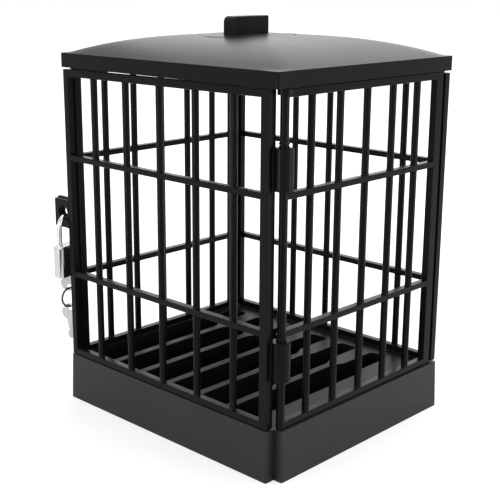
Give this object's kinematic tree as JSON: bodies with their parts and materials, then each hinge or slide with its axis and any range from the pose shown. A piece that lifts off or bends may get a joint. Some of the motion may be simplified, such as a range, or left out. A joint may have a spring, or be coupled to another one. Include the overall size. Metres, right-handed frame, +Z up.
{
  "type": "phone lock box",
  "caption": "Barred cage for phones: slotted rack in the base, vaulted roof with a grip, hinged barred door, and a small padlock with its keys hanging in the hasp.",
  "frame": {"origin": "on the ground, under the middle of the base", "axes": "+Z up, the door faces -Y, its hinge post stands at the +X end and the padlock hangs at the -X end"},
  "size_m": [0.1627, 0.137, 0.2061],
  "materials": {
    "black_plastic": "satin black moulding",
    "steel": "zinc-plated",
    "nickel_plating": "bright nickel plating",
    "brass": "turned brass",
    "key_steel": "nickel-plated stamping",
    "ring_wire": "plain wire"
  },
  "bodies": {
    "cage": {"base_shell": "black_plastic", "base_cover": "black_plastic", "base_cover_screws": "steel", "phone_rack": "black_plastic", "left_side_panel": "black_plastic", "rear_hasp_plate": "black_plastic", "right_side_panel": "black_plastic", "back_panel": "black_plastic", "roof_shell": "black_plastic", "roof_handle": "black_plastic", "handle_washer": "steel", "handle_screw": "steel"},
    "door": {"door_panel": "black_plastic", "hinge_knuckles": "black_plastic", "front_hasp_plate": "black_plastic"},
    "shackle": {"padlock_shackle": "nickel_plating"},
    "lock_body": {"padlock_body": "nickel_plating", "padlock_cap": "nickel_plating", "heel_pin": "steel", "latch_spring": "steel"},
    "latch": {"latch_bolt": "brass"},
    "plug": {"padlock_plug": "brass", "lock_wafers": "brass", "plug_clip": "steel", "lock_key": "key_steel"},
    "ring": {"key_ring": "ring_wire"},
    "spare": {"spare_key": "key_steel"}
  },
  "joints": [
    {"name": "door_hinge", "type": "hinge", "parent": "cage", "child": "door", "pos_m": [0.0712, -0.0574, 0.0252], "axis": [0, 0, 1], "range_deg": [0, 170]},
    {"name": "padlock_swing", "type": "hinge", "parent": "cage", "child": "shackle", "pos_m": [-0.0781, -0.06207, 0.0954], "axis": [0.9781, 0.2079, 0], "range_deg": [0, 20]},
    {"name": "shackle_release", "type": "slide", "parent": "shackle", "child": "lock_body", "axis": [0, 0, -1], "range_m": [0, 0.005]},
    {"name": "plug_turn", "type": "hinge", "parent": "lock_body", "child": "plug", "pos_m": [-0.0781, -0.06207, 0.06885], "axis": [0, 0, 1], "range_deg": [0, 40]},
    {"name": "latch_slide", "type": "slide", "parent": "lock_body", "child": "latch", "axis": [-0.2079, 0.9781, 0], "range_m": [0, 0.0012]},
    {"name": "ring_swing", "type": "hinge", "parent": "plug", "child": "ring", "pos_m": [-0.0781, -0.06207, 0.06105], "axis": [0.0698, 0.9976, 0], "range_deg": [0, 45]},
    {"name": "spare_key_swing", "type": "hinge", "parent": "ring", "child": "spare", "pos_m": [-0.0781, -0.06207, 0.05065], "axis": [0.0698, 0.9976, 0], "range_deg": [0, 45]}
  ],
  "couplings": [
    {"joint": "plug_turn", "follows": "shackle_release", "rad_per_m": 139.63},
    {"joint": "latch_slide", "follows": "shackle_release", "ratio": 0.23941}
  ]
}
